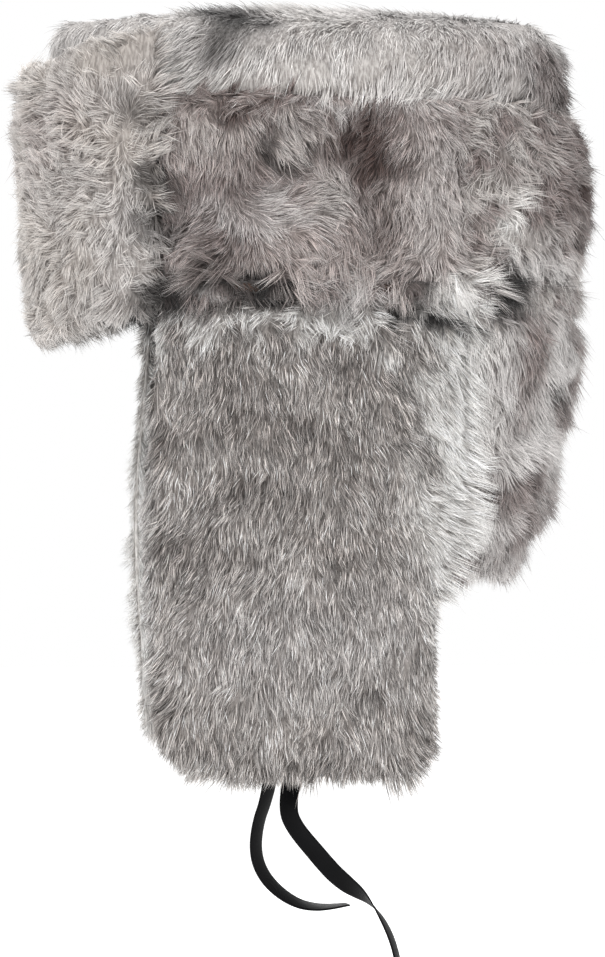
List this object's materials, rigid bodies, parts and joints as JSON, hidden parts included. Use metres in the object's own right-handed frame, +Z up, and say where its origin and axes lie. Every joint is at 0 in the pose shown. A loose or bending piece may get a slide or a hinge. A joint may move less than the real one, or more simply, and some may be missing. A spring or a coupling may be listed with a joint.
{
  "type": "fur trapper hat",
  "caption": "Padded and lined fur hat with folding ear flaps on ribbon ties, a neck flap and a turned-up front flap, worn over a head for warmth.",
  "frame": {"origin": "middle of the head opening, level with the lower edge of the crown", "axes": "+Z up through the crown, -Y towards the wearer's face, +X towards the wearer's left ear"},
  "size_m": [0.202, 0.2569, 0.4264],
  "materials": {
    "top_pelt": "matte",
    "side_pelt": "matte",
    "back_pelt": "matte",
    "flap_pelt": "matte",
    "front_pelt": "matte",
    "wadding": "matte",
    "lining": "satin",
    "panel_cloth": "matte",
    "sweatband_leather": "satin",
    "stay_cord": "matte",
    "canvas": "matte",
    "ribbon": "satin"
  },
  "bodies": {
    "crown": {"crown_top_fur": "top_pelt", "crown_left_fur": "side_pelt", "crown_right_fur": "side_pelt", "crown_back_fur": "back_pelt", "crown_front_panel": "panel_cloth", "crown_wadding": "wadding", "crown_lining_tip": "lining", "crown_lining_band": "lining", "sweatband": "sweatband_leather", "left_fold_stay": "stay_cord", "right_fold_stay": "stay_cord", "neck_fold_stay": "stay_cord", "front_fold_stay": "stay_cord"},
    "left_ear_flap": {"left_ear_fur": "flap_pelt", "left_ear_wadding": "wadding", "left_ear_lining": "lining", "left_ribbon_tack": "ribbon"},
    "left_tie": {"left_ribbon": "ribbon"},
    "right_ear_flap": {"right_ear_fur": "flap_pelt", "right_ear_wadding": "wadding", "right_ear_lining": "lining", "right_ribbon_tack": "ribbon"},
    "right_tie": {"right_ribbon": "ribbon"},
    "neck_flap": {"neck_fur": "flap_pelt", "neck_wadding": "wadding", "neck_lining": "lining"},
    "front_flap": {"front_fur": "front_pelt", "front_stiffener": "canvas", "front_lining": "lining"}
  },
  "joints": [
    {"name": "left_ear_fold", "type": "hinge", "parent": "crown", "child": "left_ear_flap", "pos_m": [0.098, 0, -0.00015], "axis": [0, -1, 0], "range_deg": [0, 150]},
    {"name": "right_ear_fold", "type": "hinge", "parent": "crown", "child": "right_ear_flap", "pos_m": [-0.098, 0, -0.00015], "axis": [0, 1, 0], "range_deg": [0, 150]},
    {"name": "neck_fold", "type": "hinge", "parent": "crown", "child": "neck_flap", "pos_m": [0, 0.118, -0.00015], "axis": [1, 0, 0], "range_deg": [0, 120]},
    {"name": "front_fold", "type": "hinge", "parent": "crown", "child": "front_flap", "pos_m": [0, -0.10935, -0.012], "axis": [1, 0, 0], "range_deg": [0, 110]},
    {"name": "left_tie_swing", "type": "hinge", "parent": "left_ear_flap", "child": "left_tie", "pos_m": [0.07787, -0.008, -0.1893], "axis": [0, -1, 0], "range_deg": [-150, 0]},
    {"name": "right_tie_swing", "type": "hinge", "parent": "right_ear_flap", "child": "right_tie", "pos_m": [-0.07787, -0.008, -0.1893], "axis": [0, 1, 0], "range_deg": [-150, 0]}
  ],
  "couplings": [
    {"joint": "left_tie_swing", "follows": "left_ear_fold", "ratio": -1},
    {"joint": "right_tie_swing", "follows": "right_ear_fold", "ratio": -1}
  ]
}
